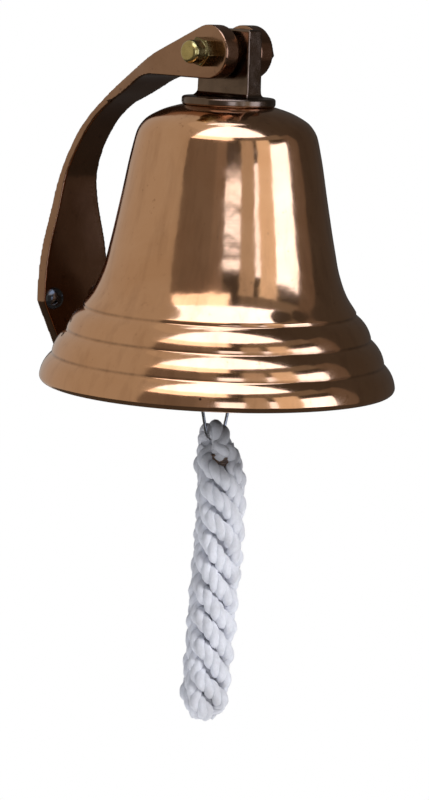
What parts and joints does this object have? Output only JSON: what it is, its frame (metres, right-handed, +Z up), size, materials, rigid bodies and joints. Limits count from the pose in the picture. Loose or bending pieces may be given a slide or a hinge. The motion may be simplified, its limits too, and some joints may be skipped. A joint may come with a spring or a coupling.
{
  "type": "ship bell",
  "caption": "Wall-mounted ship bell: stepped bell swinging in a forked arm, hung clapper, wire link and thick plaited rope lanyard.",
  "frame": {"origin": "centre of the three-screw circle on the bracket's back face, which rests on the wall", "axes": "+Z up, +Y into the wall, so the bell hangs out towards -Y; +X along the pivot bolt, towards its head"},
  "size_m": [0.1524, 0.1917, 0.3021],
  "materials": {
    "bell_bronze": "polished, lacquered copper-bronze",
    "bracket_bronze": "polished dark bronze casting",
    "bolt_brass": "dull brass",
    "nut_brass": "bright yellow brass",
    "clapper_brass": "turned brass",
    "black_screws": "black japanned",
    "steel_wire": "drawn wire",
    "cotton_rope": "white twisted cotton cord",
    "seizing_twine": "tarred brown twine"
  },
  "bodies": {
    "bracket": {"wall_bracket": "bracket_bronze", "wall_screws": "black_screws", "pivot_bolt": "bolt_brass", "bolt_washer": "bolt_brass", "cap_nut": "nut_brass", "thrust_washers": "bolt_brass"},
    "bell": {"bell_body": "bell_bronze", "crown_hanger": "bracket_bronze", "crown_washer": "bolt_brass", "crown_nut": "bolt_brass", "crown_eyebolt": "bolt_brass"},
    "hook": {"clapper_hook": "steel_wire"},
    "clapper": {"clapper_rod": "clapper_brass", "clapper_ball": "clapper_brass", "clapper_tail": "clapper_brass"},
    "link": {"rope_link": "steel_wire"},
    "rope": {"rope_eye": "cotton_rope", "rope_seizing": "seizing_twine", "rope_lanyard": "cotton_rope"}
  },
  "joints": [
    {"name": "bell_swing", "type": "hinge", "parent": "bracket", "child": "bell", "pos_m": [0, -0.0935, 0.1215], "axis": [-1, 0, 0], "range_deg": [-3.5, 70]},
    {"name": "hook_swing", "type": "hinge", "parent": "bell", "child": "hook", "pos_m": [0, -0.0935, 0.0745], "axis": [1, 0, 0], "range_deg": [-20, 20]},
    {"name": "clapper_swing", "type": "hinge", "parent": "hook", "child": "clapper", "pos_m": [0, -0.0935, 0.0595], "axis": [1, 0, 0], "range_deg": [-14, 14]},
    {"name": "link_rock", "type": "hinge", "parent": "clapper", "child": "link", "pos_m": [0, -0.0935, -0.0285], "axis": [0, 1, 0], "range_deg": [-45, 45]},
    {"name": "rope_swing", "type": "hinge", "parent": "link", "child": "rope", "pos_m": [0, -0.0935, -0.044], "axis": [-1, 0, 0], "range_deg": [-75, 75]}
  ]
}
